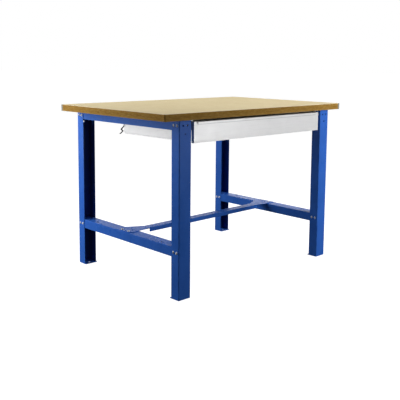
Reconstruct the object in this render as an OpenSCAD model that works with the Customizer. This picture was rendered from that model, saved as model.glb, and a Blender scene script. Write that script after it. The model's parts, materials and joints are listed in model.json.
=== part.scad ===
// Steel-framed workbench with one wide drawer hung under a particle-board worktop.
// X is the width, Y the depth with the drawer front at -Y, Z up. The origin is on the floor, at the centre.

/* [Worktop] */
// Width of the worktop
top_w = 1250; // [1100:10:1600]
// Depth of the worktop
top_d = 800; // [780:10:1000]
// Thickness of the worktop
top_t = 32; // [25:1:45]
// Height of the working surface above the floor
bench_h = 830; // [760:5:920]

/* [Frame] */
// Width of the frame over the outer faces of the legs
frame_w = 1070; // [1000:10:1100]
// Depth of the frame over the outer faces of the legs
frame_d = 780; // [760:10:900]
// Width of a leg channel, across its web
leg_w = 70; // [60:1:90]
// Depth of a leg channel, along its flanges
leg_d = 50; // [45:1:60]
// Thickness of the folded frame sheet
sheet = 2; // [1.5:0.5:3]
// Height of the side rail channels
rail_h = 44; // [40:1:50]
// Height of the top face of the lower side rails
lower_rail_top = 236; // [180:1:320]
// Thickness of the foot plates
foot_t = 3; // [2:1:6]

/* [Stretcher] */
// Width of the lower stretcher channel
stretcher_w = 50; // [40:1:60]
// Height of the stretcher's side flanges
stretcher_h = 20; // [15:1:30]
// Distance of the stretcher's centre line behind the bench centre
stretcher_y = 5; // [0:1:20]

/* [Drawer] */
// Width of the drawer front
front_w = 896; // [880:1:900]
// Height of the drawer front
front_h = 94; // [88:1:98]
// Clear gap between the worktop and the top of the drawer front
front_gap = 10; // [8:1:14]
// Depth of the drawer, from the face of its front to its back
drawer_d = 514; // [510:1:520]
// Thickness of the drawer sheet
drawer_t = 1; // [0.8:0.1:1.2]

/* [Slides] */
// Length of the drawer slides
slide_l = 500; // [480:10:500]
// Thickness of a closed slide, from bracket to drawer side
slide_t = 12.7; // [12.5:0.1:13]

/* [Hidden] */

blue = [0.10, 0.24, 0.62];
board_tan = [0.78, 0.70, 0.52];
drawer_grey = [0.86, 0.86, 0.87];
zinc = [0.82, 0.83, 0.85];
dark_steel = [0.20, 0.20, 0.22];
nylon = [0.90, 0.90, 0.86];

round_fn = 48;
cut = 1;
slack = 0.1;
top_edge = 1;
top_corner = 4;
under = bench_h - top_t;

// Frame
bend = 3;
leg_x = (frame_w - leg_w) / 2;
rail_w = leg_w - 2 * sheet;
rail_l = frame_d - 2 * (sheet + 3);
foot_d = 60;
foot_corner = 3;
anchor_d = 14;
anchor_y = frame_d / 2 - 40;

// Rail joints: two bolts a side, through each leg flange
bolt_d = 6;
bolt_hole = 7;
bolt_pitch = 22;
bolt_y = [frame_d / 2 - 15, frame_d / 2 - 15 - bolt_pitch];
bolt_l = 12;
dome_d = 13;
dome_h = 4;
nut_flats = 10;
nut_h = 5;
upper_bolt_z = under - rail_h / 2 - 1;
lower_bolt_z = lower_rail_top - rail_h / 2;

// Spare holes in the leg webs
web_hole = 9;
web_hole_pitch = 25;
web_hole_z = upper_bolt_z;
web_low_hole_z = web_hole_z - 37;

// Shelf holes in the lower rails, and the stretcher joints on the same line
line_x = leg_x + 14;
shelf_slot = [9, 20];
shelf_y = 250;
plate_end = frame_w / 2 - 6;
plate_flare = frame_w / 2 - 65;
flange_end = frame_w / 2 - 140;
plate_back = 70;
plate_front = -30;
stretcher_bolt_y = [45, -5];
spare_x = leg_x - 12;
spare_y = 0;
m8_hole = 9;
m8_flats = 13;
m8_head_d = 14;
m8_head_h = 4.4;
m8_nut_h = 6.5;
m8_l = 16;

// Worktop screws through the upper rails
screw_d = 5;
screw_l = 25;
screw_head_d = 10;
screw_head_h = 3;
screw_y = [-250, 0, 250];

// Drawer
front_t = 1.2;
front_return = 15;
front_y = -frame_d / 2 + 1;
front_top = under - front_gap;
front_bottom = front_top - front_h;
lip_out = 4;
lip_h = 11;
lip_w = front_w - 42;
lip_round = 2;
tray_w = 876;
tray_bottom = front_bottom + front_t;
tray_top = front_top - front_t - 0.8;
tray_front = front_y + front_t;
tray_back = front_y + drawer_d;
tray_hem = 10;
tray_tab = 15;
tray_bend = 2;
back_flange = 12;
back_bottom = tray_bottom + tray_bend;
back_top = tray_top - 6;
back_rivet_z = [tray_bottom + 15, tray_bottom + 40];

// Slides: distances inward from the bracket are called s, and z is taken from the slide's centre
slide_front = front_y + front_return + 2;
slide_z = under - 26;
slide_x = tray_w / 2 + slide_t;
outer_h = 45;
slide_sheet = 1.2;
outer_reach = 10.2;
outer_lip = 3;
middle_s = 2.2;
middle_reach = 11;
middle_h = 33;
inner_s = 5;
inner_h = 21;
ball_d = 4.2;
ball_pitch = 20;
cage_l = 200;
cage_t = 0.6;
cage_front = slide_front + 150;
cage_w = 4.6;
outer_race_z = (outer_h / 2 - slide_sheet + middle_h / 2) / 2;
inner_race_z = (middle_h / 2 - slide_sheet + inner_h / 2) / 2;
outer_race_s = 6.2;
inner_race_s = 8;

// Slide brackets, hung from the worktop
bracket_t = 2;
bracket_x = slide_x + bracket_t;
bracket_drop = 44;
bracket_flange = 32;
bracket_screw_x = bracket_x - 22;
bracket_screw_y = [-330, -120, 100];
rivet_d = 4.8;
rivet_head_d = 9;
rivet_head_h = 1.5;
rivet_y = [-345, -120, 95];

// Pop rivets of the drawer's own joints
pop_d = 3.2;
pop_head_d = 6.5;
pop_head_h = 1;

// Rear catches: a bent spring strap behind each rear corner of the drawer
catch_w = 8;
catch_t = 1.6;
catch_x = tray_w / 2 - 8;
catch_y = tray_back + 9;
catch_foot = 26;
catch_path = [[catch_foot, 0], [0, 0], [1, -66], [27, -86], [13, -94], [37, -110]];

function centred(n, pitch) = [for (i = [0 : n - 1]) (i - (n - 1) / 2) * pitch];

// Rectangle w by h standing on y = 0, with its two top corners rounded
module round_topped(w, h, r) {
    translate([-w / 2, 0]) square([w, h - r]);
    translate([-w / 2 + r, 0]) square([w - 2 * r, h]);
    for (side = [-1, 1]) translate([side * (w / 2 - r), h - r]) circle(r = r, $fn = round_fn);
}

// Folded channel: web on top, two flanges down to y = 0
module channel(w, h, t, r) {
    difference() {
        round_topped(w, h, r);
        translate([0, -cut]) round_topped(w - 2 * t, h - t + cut, r - t);
    }
}

// Lays a profile drawn in X and Z along Y, between two places
module along_y(y0, y1) {
    translate([0, y1, 0]) rotate([90, 0, 0]) linear_extrude(y1 - y0) children();
}

// Lays a profile drawn in Y and Z along X, between two places
module along_x(x0, x1) {
    translate([x0, 0, 0]) rotate([90, 0, 90]) linear_extrude(x1 - x0) children();
}

module hex(flats, h) {
    cylinder(d = flats / cos(30), h = h, $fn = 6);
}

// Mushroom head with its flat face on z = 0
module dome(d, h) {
    ball_r = (d * d / 4 + h * h) / (2 * h);
    intersection() {
        translate([0, 0, h - ball_r]) sphere(r = ball_r, $fn = round_fn);
        cylinder(d = d + cut, h = h + cut, $fn = round_fn);
    }
}

module shaft(d, l) {
    cylinder(d = d, h = l, $fn = round_fn);
}

module worktop() {
    screws = concat(
        [for (side = [-1, 1], y = screw_y) [side * leg_x, y]],
        [for (side = [-1, 1], y = bracket_screw_y) [side * bracket_screw_x, y]],
        [for (side = [-1, 1]) [side * catch_x, catch_y + catch_foot - 8]]
    );
    color(board_tan) difference() {
        intersection() {
            along_x(-top_w / 2, top_w / 2) translate([0, under]) bevelled(top_d, top_t, top_edge);
            along_y(-top_d / 2, top_d / 2) translate([0, under]) bevelled(top_w, top_t, top_edge);
            translate([0, 0, under]) linear_extrude(top_t) rounded(top_w, top_d, top_corner);
        }
        for (p = screws) translate([p[0], p[1], under - cut]) shaft(screw_d + 2 * slack, screw_l + cut);
    }
}

module bevelled(w, h, b) {
    polygon([
        [-w / 2 + b, 0], [w / 2 - b, 0], [w / 2, b], [w / 2, h - b],
        [w / 2 - b, h], [-w / 2 + b, h], [-w / 2, h - b], [-w / 2, b]
    ]);
}

module rounded(w, d, r) {
    square([w - 2 * r, d], center = true);
    square([w, d - 2 * r], center = true);
    for (x = [-1, 1], y = [-1, 1]) translate([x * (w / 2 - r), y * (d / 2 - r)]) circle(r = r, $fn = round_fn);
}

// One leg: a channel with its web outward, at the side and end given by the two signs
module leg(side, end) {
    turn = end < 0 ? 180 : 0;
    color(blue) translate([side * leg_x, 0, 0]) rotate([0, 0, turn]) difference() {
        translate([0, frame_d / 2 - leg_d, foot_t]) linear_extrude(under - foot_t)
            channel(leg_w, leg_d, sheet, bend);
        for (z = [upper_bolt_z, lower_bolt_z], y = bolt_y)
            translate([-leg_w / 2 - cut, y, z]) rotate([0, 90, 0]) shaft(bolt_hole, leg_w + 2 * cut);
        for (x = [-web_hole_pitch / 2, web_hole_pitch / 2]) web_bore(x, web_hole_z);
        web_bore(0, web_low_hole_z);
    }
}

module web_bore(x, z) {
    translate([x, frame_d / 2 + cut, z]) rotate([90, 0, 0]) shaft(web_hole, sheet + 2 * cut);
}

module foot_plate(side, end) {
    color(blue) difference() {
        translate([side * leg_x, end * (frame_d - foot_d) / 2, 0]) linear_extrude(foot_t)
            rounded(leg_w, foot_d, foot_corner);
        translate([side * leg_x, end * anchor_y, -cut]) shaft(anchor_d, foot_t + 2 * cut);
    }
}

// Side rail: a channel with its web on top, held between the flanges of two legs
module side_rail(side, top_z, bolt_z) {
    color(blue) translate([side * leg_x, 0, 0]) difference() {
        along_y(-rail_l / 2, rail_l / 2) translate([0, top_z - rail_h]) channel(rail_w, rail_h, sheet, bend);
        for (end = [-1, 1], y = bolt_y)
            translate([-leg_w / 2, end * y, bolt_z]) rotate([0, 90, 0]) shaft(bolt_hole, leg_w);
        children();
    }
}

module upper_rail(side) {
    side_rail(side, under, upper_bolt_z)
        for (y = screw_y) translate([0, y, under - sheet - cut]) shaft(screw_d + 1, sheet + 2 * cut);
}

module lower_rail(side) {
    side_rail(side, lower_rail_top, lower_bolt_z) {
        for (y = [-shelf_y, shelf_y]) top_slot(side * (line_x - leg_x), y);
        for (y = stretcher_bolt_y) top_bore(side * (line_x - leg_x), y, m8_hole);
    }
}

module top_bore(x, y, d) {
    translate([x, y, lower_rail_top - sheet - cut]) shaft(d, 2 * sheet + 2 * cut);
}

// Slot along Y through the web of a lower rail
module top_slot(x, y) {
    straight = shelf_slot[1] - shelf_slot[0];
    for (end = [-1, 1]) top_bore(x, y + end * straight / 2, shelf_slot[0]);
    translate([x - shelf_slot[0] / 2, y - straight / 2, lower_rail_top - sheet - cut])
        cube([shelf_slot[0], straight, 2 * sheet + 2 * cut]);
}

// Lower stretcher: a channel whose web runs on past its flanges into a flared plate at each end
module lower_stretcher() {
    half = stretcher_w / 2;
    color(blue) difference() {
        union() {
            along_x(-flange_end, flange_end) translate([stretcher_y, lower_rail_top + sheet - stretcher_h])
                channel(stretcher_w, stretcher_h, sheet, bend);
            for (side = [-1, 1]) translate([0, 0, lower_rail_top]) linear_extrude(sheet) polygon([
                [side * (flange_end - cut), stretcher_y - half + bend],
                [side * flange_end, stretcher_y - half],
                [side * plate_flare, plate_front],
                [side * plate_end, plate_front],
                [side * plate_end, plate_back],
                [side * plate_flare, plate_back],
                [side * flange_end, stretcher_y + half],
                [side * (flange_end - cut), stretcher_y + half - bend]
            ]);
        }
        for (side = [-1, 1]) {
            for (y = stretcher_bolt_y) top_bore(side * line_x, y, m8_hole);
            top_bore(side * spare_x, spare_y, m8_hole);
        }
    }
}

// Places its children at every bolt of the rail joints, with +Z of the child pointing out of the sheet
module at_rail_joints(z) {
    for (side = [-1, 1], end = [-1, 1], face = [-1, 1], y = bolt_y)
        translate([side * leg_x + face * leg_w / 2, end * y, z]) rotate([0, face * 90, 0]) children();
}

module rail_bolts(z) {
    color(zinc) at_rail_joints(z) {
        dome(dome_d, dome_h);
        translate([0, 0, -bolt_l]) shaft(bolt_d, bolt_l);
    }
}

module rail_nuts(z) {
    color(zinc) at_rail_joints(z) translate([0, 0, -2 * sheet - nut_h]) difference() {
        hex(nut_flats, nut_h);
        translate([0, 0, -cut]) shaft(bolt_d + 2 * slack, nut_h + 2 * cut);
    }
}

module at_stretcher_joints() {
    for (side = [-1, 1], y = stretcher_bolt_y) translate([side * line_x, y, lower_rail_top + sheet]) children();
}

module stretcher_bolts() {
    color(zinc) at_stretcher_joints() {
        dome(m8_head_d, m8_head_h);
        translate([0, 0, -m8_l]) shaft(8, m8_l);
    }
}

module stretcher_nuts() {
    color(zinc) at_stretcher_joints() translate([0, 0, -2 * sheet - m8_nut_h]) difference() {
        hex(m8_flats, m8_nut_h);
        translate([0, 0, -cut]) shaft(8 + 2 * slack, m8_nut_h + 2 * cut);
    }
}

// Pan-headed wood screw driven upward: the head lies under z = 0 and the shank rises from it
module wood_screw() {
    translate([0, 0, -screw_head_h]) shaft(screw_head_d, screw_head_h);
    shaft(screw_d, screw_l - sheet);
}

module worktop_screws() {
    color(zinc) for (side = [-1, 1], y = screw_y) translate([side * leg_x, y, under - sheet]) wood_screw();
}

module bracket_screws() {
    color(zinc) for (side = [-1, 1], y = bracket_screw_y)
        translate([side * bracket_screw_x, y, under - bracket_t]) wood_screw();
}

// Mirrors its children, drawn on the right-hand side, to the side asked for
module on_side(side) {
    if (side > 0) children();
    else mirror([1, 0, 0]) children();
}

// Angle bracket that hangs a slide from the worktop: a web beside the slide and a flange over it
module slide_bracket(side) {
    color(dark_steel) on_side(side) difference() {
        along_y(slide_front + 2, slide_front + slide_l) {
            translate([slide_x, under - bracket_drop]) square([bracket_t, bracket_drop]);
            translate([bracket_x - bracket_flange, under - bracket_t]) square([bracket_flange, bracket_t]);
        }
        for (y = bracket_screw_y)
            translate([bracket_screw_x, y, under - bracket_t - cut]) shaft(screw_d + 1, bracket_t + 2 * cut);
        for (y = rivet_y)
            translate([slide_x - cut, y, slide_z]) rotate([0, 90, 0]) shaft(rivet_d + 2 * slack, bracket_t + 2 * cut);
    }
}

// Slide section lying on its back: s runs from the bracket towards the drawer, as -X here
module slide_part(s0, s1, h, web_s, y0, y1) {
    along_y(y0, y1) translate([slide_x, slide_z]) {
        translate([-web_s - slide_sheet, -h / 2]) square([slide_sheet, h]);
        for (edge = [-1, 1])
            translate([-s1, edge * (h - slide_sheet) / 2 - slide_sheet / 2]) square([s1 - s0, slide_sheet]);
    }
}

module slide_outer(side) {
    color(zinc) on_side(side) difference() {
        union() {
            slide_part(0, outer_reach, outer_h, 0, slide_front, slide_front + slide_l);
            along_y(slide_front, slide_front + slide_l) translate([slide_x - outer_reach, slide_z])
                for (edge = [-1, 1])
                    translate([0, edge * (outer_h - outer_lip) / 2 - outer_lip / 2]) square([slide_sheet, outer_lip]);
        }
        for (y = rivet_y)
            translate([slide_x - slide_sheet - cut, y, slide_z]) rotate([0, 90, 0])
                shaft(rivet_d + 2 * slack, slide_sheet + 2 * cut);
    }
}

module slide_outer_rivets() {
    color(zinc) for (side = [-1, 1], y = rivet_y) on_side(side) translate([bracket_x, y, slide_z]) rotate([0, 90, 0]) {
        dome(rivet_head_d, rivet_head_h);
        translate([0, 0, -bracket_t - slide_sheet]) shaft(rivet_d, bracket_t + slide_sheet);
    }
}

module slide_middle(side) {
    color(zinc) on_side(side)
        slide_part(middle_s, middle_reach, middle_h, middle_s, slide_front, slide_front + slide_l);
}

module slide_inner(side) {
    color(zinc) on_side(side) difference() {
        slide_part(inner_s, slide_t, inner_h, slide_t - slide_sheet, slide_front, tray_back - 4);
        for (y = rivet_y)
            translate([tray_w / 2 - cut, y, slide_z]) rotate([0, 90, 0])
                shaft(pop_d + 2 * slack, slide_sheet + 2 * cut);
    }
}

module slide_inner_rivets() {
    color(zinc) for (side = [-1, 1], y = rivet_y) on_side(side)
        translate([tray_w / 2 - drawer_t, y, slide_z]) rotate([0, -90, 0]) {
            dome(pop_head_d, pop_head_h);
            translate([0, 0, -drawer_t - slide_sheet]) shaft(pop_d, drawer_t + slide_sheet);
        }
}

// Places its children at each ball of the upper and lower race
module at_balls(race_s, race_z) {
    for (edge = [-1, 1], y = centred(cage_l / ball_pitch, ball_pitch))
        translate([slide_x - race_s, cage_front + cage_l / 2 + y, slide_z + edge * race_z]) children();
}

module balls(side, race_s, race_z) {
    color(zinc) on_side(side) at_balls(race_s, race_z) sphere(d = ball_d, $fn = 24);
}

module ball_cage(side, race_s, race_z) {
    color(nylon) on_side(side) difference() {
        along_y(cage_front, cage_front + cage_l) for (edge = [-1, 1])
            translate([slide_x - race_s - cage_w / 2, slide_z + edge * race_z - cage_t / 2]) square([cage_w, cage_t]);
        at_balls(race_s, race_z) translate([0, 0, -cage_t]) shaft(ball_d + 2 * slack, 2 * cage_t);
    }
}

// Strap of the rear catch, drawn in Y and Z from its own top corner
module strap_outline() {
    for (i = [0 : len(catch_path) - 2]) {
        a = catch_path[i];
        step = catch_path[i + 1] - a;
        translate(a) rotate(atan2(step[1], step[0])) translate([0, -catch_t / 2]) square([norm(step), catch_t]);
        translate(a) circle(d = catch_t, $fn = 24);
    }
    translate(catch_path[len(catch_path) - 1]) circle(d = catch_t, $fn = 24);
}

module rear_catch(side) {
    color(dark_steel) on_side(side) difference() {
        along_x(catch_x - catch_w / 2, catch_x + catch_w / 2)
            translate([catch_y, under - catch_t / 2]) strap_outline();
        translate([catch_x, catch_y + catch_foot - 8, under - catch_t - cut])
            shaft(screw_d + 1, catch_t + 2 * cut);
    }
}

module catch_screws() {
    color(zinc) for (side = [-1, 1])
        translate([side * catch_x, catch_y + catch_foot - 8, under - catch_t]) wood_screw();
}

// Drawer front: a shallow folded pan with a rolled pull lip along its top edge
module drawer_front() {
    color(drawer_grey) {
        translate([0, front_y, front_bottom]) rotate([90, 0, 0]) difference() {
            translate([-front_w / 2, 0, -front_return]) cube([front_w, front_h, front_return]);
            translate([-front_w / 2 + front_t, front_t, -front_return - cut])
                cube([front_w - 2 * front_t, front_h - 2 * front_t, front_return - front_t + cut]);
        }
        along_x(-lip_w / 2, lip_w / 2) translate([front_y - lip_out, front_top - lip_h]) pull_lip();
    }
}

module pull_lip() {
    difference() {
        union() {
            square([lip_out + front_t / 2, lip_h - lip_round]);
            translate([lip_round, 0]) square([lip_out - lip_round + front_t / 2, lip_h]);
            translate([lip_round, lip_h - lip_round]) circle(r = lip_round, $fn = round_fn);
        }
        translate([front_t, -cut]) square([lip_out - front_t, lip_h - front_t + cut]);
    }
}

// Drawer tray: bottom and sides folded from one sheet, hemmed along the top, with front tabs
module drawer_tray() {
    tall = tray_top - tray_bottom;
    inside = tray_w - 2 * drawer_t;
    color(drawer_grey) difference() {
        union() {
            along_y(tray_front, tray_back) {
                translate([0, tray_top]) mirror([0, 1]) channel(tray_w, tall, drawer_t, tray_bend);
                for (side = [-1, 1]) translate([side * (tray_w - tray_hem) / 2 - tray_hem / 2, tray_top - drawer_t])
                    square([tray_hem, drawer_t]);
            }
            for (side = [-1, 1]) translate([side * (inside - tray_tab) / 2 - tray_tab / 2, tray_front, tray_bottom])
                cube([tray_tab, drawer_t, tall]);
        }
        for (side = [-1, 1]) {
            for (y = rivet_y) side_bore(side, y, slide_z);
            for (z = back_rivet_z) side_bore(side, tray_back - back_flange / 2 - 1, z);
        }
    }
}

module side_bore(side, y, z) {
    on_side(side) translate([tray_w / 2 - drawer_t - cut, y, z]) rotate([0, 90, 0])
        shaft(pop_d + 2 * slack, drawer_t + 2 * cut);
}

// Back panel: a folded sheet between the tray sides, its end flanges riveted to them
module drawer_back() {
    wide = tray_w - 2 * drawer_t;
    color(drawer_grey) difference() {
        translate([0, tray_back - back_flange, back_bottom])
            linear_extrude(back_top - back_bottom) channel(wide, back_flange, drawer_t, tray_bend);
        for (side = [-1, 1], z = back_rivet_z) on_side(side)
            translate([wide / 2 - drawer_t - cut, tray_back - back_flange / 2 - 1, z]) rotate([0, 90, 0])
                shaft(pop_d + 2 * slack, drawer_t + 2 * cut);
    }
}

module drawer_back_rivets() {
    color(zinc) for (side = [-1, 1], z = back_rivet_z) on_side(side)
        translate([tray_w / 2, tray_back - back_flange / 2 - 1, z]) rotate([0, 90, 0]) {
            dome(pop_head_d, pop_head_h);
            translate([0, 0, -2 * drawer_t]) shaft(pop_d, 2 * drawer_t);
        }
}

worktop();
leg(-1, -1);  // leg_front_left
leg(1, -1);  // leg_front_right
leg(-1, 1);  // leg_rear_left
leg(1, 1);  // leg_rear_right
foot_plate(-1, -1);  // foot_plate_front_left
foot_plate(1, -1);  // foot_plate_front_right
foot_plate(-1, 1);  // foot_plate_rear_left
foot_plate(1, 1);  // foot_plate_rear_right
upper_rail(-1);  // upper_rail_left
upper_rail(1);  // upper_rail_right
lower_rail(-1);  // lower_rail_left
lower_rail(1);  // lower_rail_right
lower_stretcher();
rail_bolts(upper_bolt_z);  // upper_rail_bolts
rail_nuts(upper_bolt_z);  // upper_rail_nuts
rail_bolts(lower_bolt_z);  // lower_rail_bolts
rail_nuts(lower_bolt_z);  // lower_rail_nuts
stretcher_bolts();
stretcher_nuts();
worktop_screws();
slide_bracket(-1);  // slide_bracket_left
slide_bracket(1);  // slide_bracket_right
bracket_screws();
slide_outer(-1);  // slide_outer_left
slide_outer(1);  // slide_outer_right
slide_outer_rivets();
slide_middle(-1);  // slide_middle_left
slide_middle(1);  // slide_middle_right
slide_inner(-1);  // slide_inner_left
slide_inner(1);  // slide_inner_right
ball_cage(-1, outer_race_s, outer_race_z);  // outer_ball_cage_left
ball_cage(1, outer_race_s, outer_race_z);  // outer_ball_cage_right
ball_cage(-1, inner_race_s, inner_race_z);  // inner_ball_cage_left
ball_cage(1, inner_race_s, inner_race_z);  // inner_ball_cage_right
balls(-1, outer_race_s, outer_race_z);  // outer_balls_left
balls(1, outer_race_s, outer_race_z);  // outer_balls_right
balls(-1, inner_race_s, inner_race_z);  // inner_balls_left
balls(1, inner_race_s, inner_race_z);  // inner_balls_right
rear_catch(-1);  // rear_catch_left
rear_catch(1);  // rear_catch_right
catch_screws();
drawer_front();
drawer_tray();
drawer_back();
slide_inner_rivets();
drawer_back_rivets();
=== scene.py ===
import json
import math
import random

import bpy
import bmesh
from mathutils import Matrix, Vector


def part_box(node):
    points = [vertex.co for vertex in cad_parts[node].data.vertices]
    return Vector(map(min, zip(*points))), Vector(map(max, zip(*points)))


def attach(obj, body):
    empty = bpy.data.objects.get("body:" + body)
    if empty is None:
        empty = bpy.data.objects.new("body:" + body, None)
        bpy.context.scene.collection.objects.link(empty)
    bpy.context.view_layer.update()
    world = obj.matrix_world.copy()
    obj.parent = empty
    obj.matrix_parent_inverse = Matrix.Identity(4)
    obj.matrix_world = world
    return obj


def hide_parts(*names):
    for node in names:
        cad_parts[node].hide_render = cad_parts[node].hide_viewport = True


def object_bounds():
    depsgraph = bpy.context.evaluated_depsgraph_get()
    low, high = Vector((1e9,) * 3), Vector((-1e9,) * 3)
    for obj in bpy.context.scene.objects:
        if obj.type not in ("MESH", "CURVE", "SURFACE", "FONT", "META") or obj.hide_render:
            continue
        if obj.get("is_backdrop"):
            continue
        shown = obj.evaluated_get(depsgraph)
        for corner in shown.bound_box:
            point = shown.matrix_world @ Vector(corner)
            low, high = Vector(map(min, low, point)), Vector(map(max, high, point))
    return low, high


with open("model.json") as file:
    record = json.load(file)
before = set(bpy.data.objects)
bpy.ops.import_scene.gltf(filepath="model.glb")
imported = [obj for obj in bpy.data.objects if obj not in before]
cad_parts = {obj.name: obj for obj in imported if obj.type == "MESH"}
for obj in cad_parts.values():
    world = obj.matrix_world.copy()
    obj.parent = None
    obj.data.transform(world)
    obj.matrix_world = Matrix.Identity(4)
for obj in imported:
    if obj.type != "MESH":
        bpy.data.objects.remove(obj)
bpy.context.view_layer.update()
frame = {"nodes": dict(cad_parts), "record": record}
nodes = frame["nodes"]
rng = random.Random(7)

top_low, top_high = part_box("worktop")
front_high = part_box("drawer_front")[1]

CAMERA_AT = (-2.4162, -2.4901, 1.0534)
CAMERA_YAW, CAMERA_PITCH, CAMERA_ROLL = 43.649, 6.818, 0.469  # degrees
CAMERA_LENS, CAMERA_SHIFT = 59.758, -0.15
CORNER_BAND = 0.015  # width of the grey bands at two corners of the worktop
LIP_H, LIP_INSET = 0.011, 0.021  # the drawer's pull lip: its height, and how far it stops short of each end
SHEET = 0.002  # thickness of the legs' steel
STAGE_R = 60  # radius of the floor and of the backdrop's globe
FLOOR_DROP = 0.0005  # the floor lies this far under the feet


# ---------------------------------------------------------------- camera
def make_camera():
    data = bpy.data.cameras.new("camera")
    cam = bpy.data.objects.new("camera", data)
    bpy.context.scene.collection.objects.link(cam)
    bpy.context.scene.camera = cam
    yaw, pitch, roll = (math.radians(a) for a in (CAMERA_YAW, CAMERA_PITCH, CAMERA_ROLL))
    ahead = Vector((math.sin(yaw) * math.cos(pitch), math.cos(yaw) * math.cos(pitch), -math.sin(pitch)))
    level = Vector((math.cos(yaw), -math.sin(yaw), 0))
    upward = level.cross(ahead)
    right = math.cos(roll) * level + math.sin(roll) * upward
    up = -math.sin(roll) * level + math.cos(roll) * upward
    turn = Matrix((right, up, -ahead)).transposed().to_4x4()
    cam.matrix_world = Matrix.Translation(CAMERA_AT) @ turn
    data.sensor_width = 36
    data.lens, data.shift_y = CAMERA_LENS, CAMERA_SHIFT
    data.clip_start, data.clip_end = 0.05, 200


make_camera()


# ---------------------------------------------------------------- material helpers
class Shader:
    """A small wrapper for building a node tree: each method adds one node and gives its output."""

    def __init__(self, name):
        self.mat = bpy.data.materials.new(name)
        self.mat.use_nodes = True
        self.tree = self.mat.node_tree
        self.tree.nodes.clear()
        self.out = self.tree.nodes.new("ShaderNodeOutputMaterial")
        self.bsdf = self.tree.nodes.new("ShaderNodeBsdfPrincipled")
        self.tree.links.new(self.bsdf.outputs[0], self.out.inputs[0])

    def node(self, kind, **settings):
        n = self.tree.nodes.new("ShaderNode" + kind)
        for key, value in settings.items():
            setattr(n, key, value)
        return n

    def put(self, socket, value):
        if isinstance(value, bpy.types.NodeSocket):
            self.tree.links.new(value, socket)
        else:
            socket.default_value = value

    def place(self, scale=(1, 1, 1), rotation=(0, 0, 0)):
        coord = self.node("TexCoord")
        mapping = self.node("Mapping")
        mapping.inputs["Scale"].default_value = scale
        mapping.inputs["Rotation"].default_value = rotation
        self.put(mapping.inputs["Vector"], coord.outputs["Object"])
        return mapping.outputs[0]

    def noise(self, vector, scale, detail, rough, warp=0.0):
        n = self.node("TexNoise")
        self.put(n.inputs["Vector"], vector)
        n.inputs["Scale"].default_value = scale
        n.inputs["Detail"].default_value = detail
        n.inputs["Roughness"].default_value = rough
        n.inputs["Distortion"].default_value = warp
        return n.outputs["Fac"]

    def cells(self, vector, scale, output="Distance"):
        n = self.node("TexVoronoi")
        self.put(n.inputs["Vector"], vector)
        n.inputs["Scale"].default_value = scale
        return n.outputs[output]

    def ramp(self, value, *stops):
        n = self.node("ValToRGB")
        self.put(n.inputs[0], value)
        bar = n.color_ramp
        while len(bar.elements) > 1:
            bar.elements.remove(bar.elements[-1])
        for i, (at, tone) in enumerate(stops):
            e = bar.elements[0] if i == 0 else bar.elements.new(at)
            e.position = at
            e.color = (*tone, 1)
        return n.outputs[0]

    def span(self, value, low, high, to_low=0.0, to_high=1.0):
        n = self.node("MapRange")
        self.put(n.inputs[0], value)
        for i, v in enumerate((low, high, to_low, to_high)):
            self.put(n.inputs[i + 1], v)
        return n.outputs[0]

    def maths(self, what, a, b=0.0):
        n = self.node("Math", operation=what)
        self.put(n.inputs[0], a)
        self.put(n.inputs[1], b)
        return n.outputs[0]

    def times(self, a, b):
        return self.maths("MULTIPLY", a, b)

    def plus(self, a, b):
        return self.maths("ADD", a, b)

    def mix(self, fac, a, b):
        n = self.node("Mix", data_type="RGBA")
        self.put(n.inputs[0], fac)
        for i, tone in ((6, a), (7, b)):
            self.put(n.inputs[i], tone if isinstance(tone, bpy.types.NodeSocket) else (*tone, 1))
        return n.outputs[2]

    def xyz(self, vector):
        n = self.node("SeparateXYZ")
        self.put(n.inputs[0], vector)
        return n.outputs

    def bump(self, height, strength, distance, under=None):
        n = self.node("Bump")
        self.put(n.inputs["Height"], height)
        n.inputs["Strength"].default_value = strength
        n.inputs["Distance"].default_value = distance
        if under is not None:
            self.put(n.inputs["Normal"], under)
        return n.outputs[0]

    def finish(self, color, rough, normal, **constants):
        self.put(self.bsdf.inputs["Base Color"], color)
        self.put(self.bsdf.inputs["Roughness"], rough)
        self.put(self.bsdf.inputs["Normal"], normal)
        for key, value in constants.items():
            self.bsdf.inputs[key.replace("_", " ")].default_value = value
        return self.mat


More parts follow.
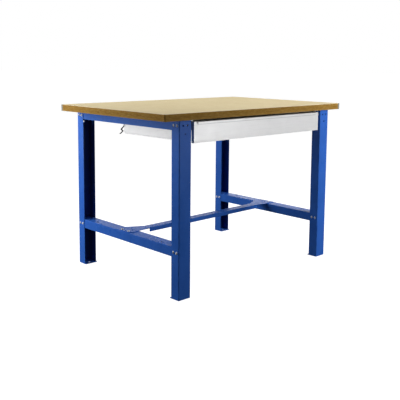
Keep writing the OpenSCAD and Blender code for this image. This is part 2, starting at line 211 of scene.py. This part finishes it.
# ---------------------------------------------------------------- materials
def board():
    """Lacquered board: felted pale faces, brown cut edges with a layered core, grey bands at two corners, and
    a painted highlight on the slanted bevels.
    """
    s = Shader("fibreboard")
    plain = s.place()
    fibre_a = s.noise(s.place(scale=(1.0, 14.0, 1.0), rotation=(0, 0, 0.35)), 60, 4, 0.6, 0.6)
    fibre_b = s.noise(s.place(scale=(13.0, 1.0, 1.0), rotation=(0, 0, -0.5)), 60, 4, 0.6, 0.6)
    cloud = s.noise(plain, 5.5, 3, 0.6)
    blotch = s.noise(plain, 26, 4, 0.6, 0.4)
    fleck = s.span(s.cells(plain, 420), 0.08, 0.2, 1.0, 0.0)
    felt = s.plus(s.times(fibre_a, 0.5), s.times(fibre_b, 0.5))
    face = s.ramp(felt, (0.3, (0.60, 0.49, 0.29)), (0.5, (0.68, 0.575, 0.35)), (0.72, (0.74, 0.64, 0.41)))
    face = s.mix(s.span(blotch, 0.35, 0.7, 0.0, 0.28), face, (0.57, 0.44, 0.235))
    face = s.mix(s.span(cloud, 0.35, 0.7, 0.0, 0.22), face, (0.76, 0.66, 0.44))
    face = s.mix(s.times(fleck, 0.3), face, (0.36, 0.25, 0.12))

    chips = s.noise(s.place(scale=(1, 1, 6)), 42, 5, 0.65, 0.5)
    dust = s.noise(s.place(scale=(1, 1, 2)), 420, 3, 0.7)
    height = s.xyz(plain)[2]
    middle = (top_low.z + top_high.z) / 2
    half = (top_high.z - top_low.z) / 2
    off_middle = s.maths("ABSOLUTE", s.maths("SUBTRACT", height, middle))
    core = s.span(off_middle, 0.35 * half, 0.95 * half, 1.0, 0.0)
    edge = s.ramp(chips, (0.3, (0.20, 0.10, 0.017)), (0.5, (0.32, 0.18, 0.036)), (0.7, (0.45, 0.27, 0.07)))
    edge = s.mix(s.span(dust, 0.45, 0.75, 0.0, 0.35), edge, (0.13, 0.07, 0.02))
    edge = s.mix(s.times(s.maths("SUBTRACT", 1.0, core), 0.4), edge, (0.42, 0.25, 0.07))

    geometry = s.node("NewGeometry")
    up = s.xyz(geometry.outputs["True Normal"])[2]
    is_face = s.span(s.maths("ABSOLUTE", up), 0.35, 0.9)
    # painted highlight: faces that slope between flat and upright (the bevels) are mixed toward a pale tan
    bevel_highlight = s.times(s.span(up, 0.5, 0.65), s.span(up, 0.75, 0.9, 1.0, 0.0))
    x, y, _ = s.xyz(plain)
    bands = [s.span(s.maths("ABSOLUTE", along), limit - CORNER_BAND - 0.001, limit - CORNER_BAND + 0.001)
             for along, limit in ((x, top_high.x), (y, top_high.y))]
    ends = s.times(s.times(*bands), s.maths("LESS_THAN", s.times(x, y), 0.0))
    color = s.mix(is_face, edge, face)
    color = s.mix(s.times(bevel_highlight, 0.8), color, (0.86, 0.78, 0.60))
    color = s.mix(s.times(ends, 0.9), color, (0.27, 0.28, 0.26))
    relief = s.plus(s.times(felt, 0.5), s.times(dust, 0.5))
    normal = s.bump(relief, 0.25, 0.0004)
    edge_rough = s.span(dust, 0.3, 0.7, 0.62, 0.8)
    rough = s.mix(is_face, edge_rough, s.span(s.plus(blotch, felt), 0.6, 1.4, 0.42, 0.56))
    return s.finish(color, rough, normal, Specular_IOR_Level=0.08)


def powder_coat():
    """Semi-gloss blue powder coat: orange peel, faint clouding, light scuffs, and painted shade that darkens
    it deep in channels.
    """
    s = Shader("blue_powder_coat")
    plain = s.place()
    peel = s.noise(plain, 520, 2, 0.5)
    grit = s.noise(plain, 2600, 2, 0.5)
    cloud = s.noise(plain, 9, 3, 0.6)
    scuff = s.noise(s.place(scale=(1, 1, 0.12), rotation=(0.15, 0.1, 0)), 260, 3, 0.7)
    patch = s.noise(plain, 14, 3, 0.6)
    marks = s.times(s.span(scuff, 0.66, 0.72), s.span(patch, 0.56, 0.66))
    color = s.ramp(cloud, (0.3, (0.029, 0.122, 0.50)), (0.7, (0.037, 0.145, 0.58)))
    color = s.mix(s.times(marks, 0.35), color, (0.20, 0.27, 0.50))
    color = s.mix(s.span(grit, 0.62, 0.75, 0.0, 0.12), color, (0.08, 0.16, 0.5))
    # painted shade: ambient occlusion darkens the paint toward near-black navy inside the legs' channels and
    # other nooks
    deep = s.node("AmbientOcclusion", samples=6, only_local=True)
    deep.inputs["Distance"].default_value = 0.08
    color = s.mix(s.span(deep.outputs["AO"], 0.3, 0.8, 0.85, 0.0), color, (0.006, 0.02, 0.075))
    normal = s.bump(peel, 0.22, 0.0003)
    normal = s.bump(grit, 0.1, 0.00008, normal)
    worn = s.plus(s.times(patch, 0.7), s.times(marks, 0.6))
    rough = s.span(worn, 0.25, 0.9, 0.26, 0.42)
    return s.finish(color, rough, normal, Specular_IOR_Level=0.055)


def drawer_coat():
    """Pale grey paint on thin sheet: fine peel, faint smudges, and a painted shadow line, with some grime, in
    the crease under the pull lip.
    """
    s = Shader("pale_grey_paint")
    plain = s.place()
    peel = s.noise(plain, 650, 2, 0.5)
    smudge = s.noise(plain, 11, 4, 0.62, 0.5)
    streak = s.noise(s.place(scale=(0.25, 1, 4)), 40, 3, 0.6)
    wave = s.noise(s.place(scale=(1, 1, 0.6)), 7, 1, 0.5)
    color = s.ramp(smudge, (0.3, (0.73, 0.73, 0.735)), (0.7, (0.78, 0.78, 0.785)))
    color = s.mix(s.span(streak, 0.5, 0.8, 0.0, 0.2), color, (0.55, 0.55, 0.56))
    x, _, z = s.xyz(plain)
    # painted shadow with some grime: a thin dark band just under the pull lip, across the drawer front
    under_lip = front_high.z - LIP_H
    below = s.span(z, under_lip - 0.003, under_lip - 0.0008)
    above = s.span(z, under_lip, under_lip + 0.0008, 1.0, 0.0)
    across = s.maths("LESS_THAN", s.maths("ABSOLUTE", x), front_high.x - LIP_INSET)
    lip_shadow_and_grime = s.times(s.times(below, above), across)
    color = s.mix(s.times(lip_shadow_and_grime, 0.6), color, (0.20, 0.20, 0.21))
    normal = s.bump(peel, 0.18, 0.0002)
    normal = s.bump(wave, 0.3, 0.0016, normal)
    rough = s.span(s.plus(smudge, streak), 0.7, 1.3, 0.3, 0.44)
    return s.finish(color, rough, normal, Metallic=0.35)


def zinc():
    """Bright zinc plate with a slightly clouded passivation."""
    s = Shader("zinc_plate")
    plain = s.place()
    cloud = s.noise(plain, 160, 4, 0.6, 0.8)
    spangle = s.cells(plain, 700, output="Color")
    tone = s.node("RGBToBW")
    s.put(tone.inputs[0], spangle)
    color = s.ramp(cloud, (0.3, (0.82, 0.85, 0.91)), (0.55, (0.92, 0.94, 0.98)), (0.75, (0.93, 0.92, 0.88)))
    color = s.mix(s.span(tone.outputs[0], 0.2, 0.8, 0.0, 0.15), color, (0.9, 0.9, 0.92))
    normal = s.bump(s.noise(plain, 900, 3, 0.6), 0.12, 0.0002)
    return s.finish(color, s.span(cloud, 0.3, 0.7, 0.24, 0.42), normal, Metallic=0.15)


def slide_steel():
    """Zinc-plated rolled steel of the slides, brushed along its length."""
    s = Shader("slide_steel")
    grain = s.noise(s.place(scale=(1, 0.03, 1)), 1500, 3, 0.6)
    cloud = s.noise(s.place(), 40, 3, 0.6)
    oil = s.noise(s.place(scale=(1, 0.3, 1)), 24, 3, 0.6)
    color = s.ramp(grain, (0.35, (0.55, 0.56, 0.58)), (0.65, (0.76, 0.77, 0.79)))
    color = s.mix(s.span(oil, 0.5, 0.75, 0.0, 0.3), color, (0.5, 0.49, 0.45))
    return s.finish(color, s.span(cloud, 0.3, 0.7, 0.22, 0.4), s.bump(grain, 0.15, 0.0002), Metallic=0.6)


def black_steel():
    """Blackened spring steel with rubbed, greyer patches."""
    s = Shader("blackened_steel")
    plain = s.place()
    rub = s.noise(plain, 90, 4, 0.65, 0.6)
    pits = s.noise(plain, 1200, 3, 0.6)
    color = s.ramp(rub, (0.4, (0.018, 0.018, 0.021)), (0.7, (0.07, 0.07, 0.075)))
    return s.finish(color, s.span(rub, 0.35, 0.7, 0.32, 0.5), s.bump(pits, 0.2, 0.0002), Metallic=0.6)


def nylon():
    """Natural nylon of the ball cages, slightly yellowed and greasy."""
    s = Shader("natural_nylon")
    plain = s.place()
    grease = s.noise(plain, 120, 4, 0.6)
    color = s.ramp(grease, (0.35, (0.66, 0.63, 0.52)), (0.65, (0.80, 0.78, 0.70)))
    rough = s.span(grease, 0.3, 0.7, 0.3, 0.5)
    return s.finish(color, rough, s.bump(grease, 0.1, 0.0002), Subsurface_Weight=0.1)


finishes = {
    "board": board(),
    "blue_paint": powder_coat(),
    "drawer_paint": drawer_coat(),
    "zinc": zinc(),
    "black_steel": black_steel(),
    "cage_nylon": nylon(),
}
slots = {part["node"]: part["material_slot"] for part in frame["record"]["subparts"]}
rolled = slide_steel()
for name, node in nodes.items():
    look = finishes[slots[name]]
    if name.startswith("slide_") and slots[name] == "zinc" and "rivets" not in name:
        look = rolled
    node.data.materials.clear()
    node.data.materials.append(look)


def skin(bm, loops):
    """Joins rings of points, each to the next, and closes both ends."""
    sides = len(loops[0])
    for one, two in zip(loops, loops[1:]):
        for k in range(sides):
            bm.faces.new((one[k], one[(k + 1) % sides], two[(k + 1) % sides], two[k]))
    bm.faces.new(loops[0][::-1])
    bm.faces.new(loops[-1])


# ---------------------------------------------------------------- socket bolts
def islands(obj):
    """The corner points of each separate solid in a node, in the shared frame."""
    bm = bmesh.new()
    bm.from_mesh(obj.data)
    bmesh.ops.remove_doubles(bm, verts=bm.verts, dist=1e-6)
    seen = set()
    for start in bm.verts:
        if start in seen:
            continue
        seen.add(start)
        stack, points = [start], []
        while stack:
            v = stack.pop()
            points.append(obj.matrix_world @ v.co)
            for e in v.link_edges:
                other = e.other_vert(v)
                if other not in seen:
                    seen.add(other)
                    stack.append(other)
        yield points
    bm.free()


def bolt_seats(obj, shank_r):
    """For each bolt of a node: where it sits (origin under the head, +Z out through it) and its measures."""
    for points in islands(obj):
        low = Vector([min(p[i] for p in points) for i in range(3)])
        high = Vector([max(p[i] for p in points) for i in range(3)])
        middle, extent = (low + high) / 2, high - low
        along = max(range(3), key=lambda i: extent[i])
        head = [p for p in points
                if math.hypot(*(p[i] - middle[i] for i in range(3) if i != along)) > shank_r * 1.3]
        out = Vector([0, 0, 0])
        out[along] = math.copysign(1, sum(p[along] - middle[along] for p in head))
        seat = min(p.dot(out) for p in head)
        at = middle.copy()
        at[along] = seat * out[along]
        turn = out.to_track_quat("Z", "Y").to_matrix() @ Matrix.Rotation(rng.uniform(0, 6.28), 3, "Z")
        head_r = (extent[(along + 1) % 3]) / 2
        head_h = max(p.dot(out) for p in points) - seat
        yield Matrix.Translation(at) @ turn.to_4x4(), head_r, head_h, extent[along] - head_h


def socket_bolt(bm, place, head_r, head_h, shank_r, shank_l, flats, deep, pitch):
    """Adds one button-head bolt with a hexagon socket and a threaded shank."""
    sides = 24
    ball_r = (head_r ** 2 + head_h ** 2) / (2 * head_h)

    def dome(r):
        return head_h - ball_r + math.sqrt(ball_r ** 2 - r ** 2)

    def hexagon(t):
        return flats / 2 / math.cos(t % (math.pi / 3) - math.pi / 6)

    lip = flats * 0.64
    rims = [(lambda t, r=r: r, z) for r, z in
            [(head_r * 0.96, 0.0), (head_r, 0.0001), (head_r * 0.97, dome(head_r * 0.97))]
            + [(head_r + (lip - head_r) * k / 5, dome(head_r + (lip - head_r) * k / 5)) for k in range(1, 6)]]
    rims += [(hexagon, dome(lip) - 0.0001), (hexagon, head_h - deep)]
    turns = int(shank_l / pitch * 2) - 1
    shank = [(lambda t, r=shank_r * (1.0 if i % 2 else 0.88): r, -shank_l + 0.0006 + i * pitch / 2)
             for i in range(turns)]
    shank = ([(lambda t: shank_r * 0.8, -shank_l)] + shank
             + [(lambda t: shank_r * 0.99, -0.0002), (lambda t: shank_r * 0.99, 0.0)])
    loops = [[bm.verts.new(place @ Vector((r(t) * math.cos(t), r(t) * math.sin(t), z)))
              for t in (2 * math.pi * k / sides for k in range(sides))] for r, z in shank + rims]
    skin(bm, loops)


# shank radius, socket width over flats, socket depth, thread pitch
M6 = (0.003, 0.004, 0.0019, 0.001)
M8 = (0.004, 0.005, 0.0024, 0.00125)
for node_name, size in (("upper_rail_bolts", M6), ("lower_rail_bolts", M6), ("stretcher_bolts", M8)):
    shank_r, flats, deep, pitch = size
    bm = bmesh.new()
    for place, head_r, head_h, shank_l in bolt_seats(nodes[node_name], shank_r):
        socket_bolt(bm, place, head_r, head_h, shank_r, shank_l, flats, deep, pitch)
    bmesh.ops.recalc_face_normals(bm, faces=bm.faces)
    mesh = bpy.data.meshes.new(node_name + "_with_sockets")
    bm.to_mesh(mesh)
    bm.free()
    mesh.shade_smooth()
    mesh.set_sharp_from_angle(angle=math.radians(32))
    mesh.materials.append(finishes["zinc"])
    bolts = bpy.data.objects.new(node_name + "_with_sockets", mesh)
    bpy.context.scene.collection.objects.link(bolts)
    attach(bolts, "bench_frame")
    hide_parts(node_name)


# ---------------------------------------------------------------- weld beads
BEAD_R, BEAD_STEP = 0.0026, 0.0022  # radius, and length of a ripple
BEAD_OFF, BEAD_LIFT = 0.0006, 0.0008  # from a bead's centre line to the leg's steel, and to the foot plate
BEAD_SHORT = 0.006  # how far the beads stop short of the leg's open side
BEAD_GAP = 0.012  # between the bead along the web and those along the flanges


def bead_rings(path, radius, spacing):
    """Points along a path of straight runs, each with a ripple-like radius, for a lumpy weld bead."""
    rings = []
    for a, b in zip(path, path[1:]):
        steps = max(2, round((b - a).length / spacing))
        for i in range(steps):
            ripple = 0.86 + 0.16 * (i % 3 == 0) + rng.uniform(-0.07, 0.07)
            rings.append((a.lerp(b, i / steps), radius * ripple))
    rings.append((path[-1], radius * 0.7))
    return rings


def weld(name, path, radius, mat, body):
    """A fillet weld: a rippled round bead laid along the path, closed at both ends."""
    bm = bmesh.new()
    sides = 8
    rings = bead_rings(path, radius, BEAD_STEP)
    loops = []
    for i, (at, r) in enumerate(rings):
        ahead = (rings[min(i + 1, len(rings) - 1)][0] - rings[max(i - 1, 0)][0]).normalized()
        across = ahead.cross(Vector((0, 0, 1))).normalized()
        loops.append([bm.verts.new(at + r * (math.cos(t) * across + math.sin(t) * Vector((0, 0, 1))))
                      for t in (2 * math.pi * k / sides for k in range(sides))])
    skin(bm, loops)
    bmesh.ops.recalc_face_normals(bm, faces=bm.faces)
    mesh = bpy.data.meshes.new(name)
    bm.to_mesh(mesh)
    bm.free()
    mesh.shade_smooth()
    mesh.materials.append(mat)
    obj = bpy.data.objects.new(name, mesh)
    bpy.context.scene.collection.objects.link(obj)
    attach(obj, body)


for corner in ("front_left", "front_right", "rear_left", "rear_right"):
    low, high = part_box("leg_" + corner)
    floor_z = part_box("foot_plate_" + corner)[1].z + BEAD_LIFT
    mouth, web = (high.y, low.y) if high.y < 0 else (low.y, high.y)
    inward = math.copysign(1, mouth - web)
    back_y, near_y = web + inward * (SHEET + BEAD_OFF), mouth - inward * BEAD_SHORT
    left_x, right_x = low.x + SHEET + BEAD_OFF, high.x - SHEET - BEAD_OFF
    runs = {side: ((x, near_y), (x, back_y + inward * BEAD_GAP))
            for side, x in (("left", left_x), ("right", right_x))}
    runs["web"] = ((left_x + BEAD_GAP, back_y), (right_x - BEAD_GAP, back_y))
    for side, ends in runs.items():
        path = [Vector((*end, floor_z)) for end in ends]
        weld(f"weld_bead_{corner}_{side}", path, BEAD_R, finishes["blue_paint"], "bench_frame")


# ---------------------------------------------------------------- stage and light
def stage_mesh(name, bm, mat):
    mesh = bpy.data.meshes.new(name)
    bm.to_mesh(mesh)
    bm.free()
    obj = bpy.data.objects.new(name, mesh)
    bpy.context.scene.collection.objects.link(obj)
    mesh.materials.append(mat)
    obj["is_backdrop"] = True
    return obj


def plain_white(name, grey):
    mat = bpy.data.materials.new(name)
    mat.use_nodes = True
    bsdf = mat.node_tree.nodes["Principled BSDF"]
    bsdf.inputs["Base Color"].default_value = (grey, grey, grey, 1)
    bsdf.inputs["Roughness"].default_value = 0.9
    bsdf.inputs["Specular IOR Level"].default_value = 0.0
    bsdf.inputs["Emission Color"].default_value = (1, 1, 1, 1)
    bsdf.inputs["Emission Strength"].default_value = 1.0
    return mat


def make_stage():
    bm = bmesh.new()
    bmesh.ops.create_circle(bm, cap_ends=True, segments=96, radius=STAGE_R)
    floor = stage_mesh("floor", bm, plain_white("floor_white", 0.3))
    floor.location.z = -FLOOR_DROP
    floor.visible_diffuse = floor.visible_glossy = False
    bm = bmesh.new()
    bmesh.ops.create_uvsphere(bm, u_segments=48, v_segments=24, radius=STAGE_R)
    sky = stage_mesh("backdrop", bm, plain_white("backdrop_white", 0.0))
    sky.visible_diffuse = sky.visible_glossy = sky.visible_shadow = False


def area(name, at, towards, wide, tall, power, shade=True, gloss=True):
    """An area light; shade and gloss say whether it lights matt surfaces and shows in shiny ones."""
    data = bpy.data.lights.new(name, "AREA")
    data.shape = "RECTANGLE"
    data.size, data.size_y = wide, tall
    data.energy = power
    lamp = bpy.data.objects.new(name, data)
    bpy.context.scene.collection.objects.link(lamp)
    lamp.location = at
    lamp.rotation_euler = (Vector(towards) - Vector(at)).to_track_quat("-Z", "Y").to_euler()
    lamp.visible_camera = False
    lamp.visible_diffuse, lamp.visible_glossy = shade, gloss


def card(name, at, towards, wide, tall, glow):
    """A white reflector seen only in shiny surfaces; glow is its brightness, 1 being white."""
    area(name, at, towards, wide, tall, glow * math.pi * wide * tall, shade=False)


def make_light():
    world = bpy.data.worlds.new("studio")
    bpy.context.scene.world = world
    world.use_nodes = True
    back = world.node_tree.nodes["Background"]
    back.inputs["Color"].default_value = (0.95, 0.97, 1.0, 1)
    back.inputs["Strength"].default_value = 0.05
    area("overhead", (0.45, 0.2, 2.9), (0.1, 0, 0.8), 2.4, 2.0, 52)
    area("left_rear", (-1.52, 1.15, 0.95), (-0.45, 0.25, 0.45), 0.8, 1.5, 31, gloss=False)
    area("right_front", (1.5, -1.55, 1.05), (0.45, -0.3, 0.45), 0.9, 1.6, 38, gloss=False)
    card("right_card", (1.8, -3.4, 0.45), (-0.4, -0.4, 0.7), 1.6, 1.6, 4.5)
    card("left_card", (-3.4, 3.0, 1.0), (0, 0, 0.8), 3.0, 2.2, 2.4)
    card("back_card", (2.6, 2.8, 0.6), (0, 0, 0.5), 4.0, 0.9, 2.7)


make_stage()
make_light()
bpy.context.scene.view_settings.view_transform = "Standard"
bpy.context.scene.view_settings.look = "None"

bpy.context.view_layer.update()
low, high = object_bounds()
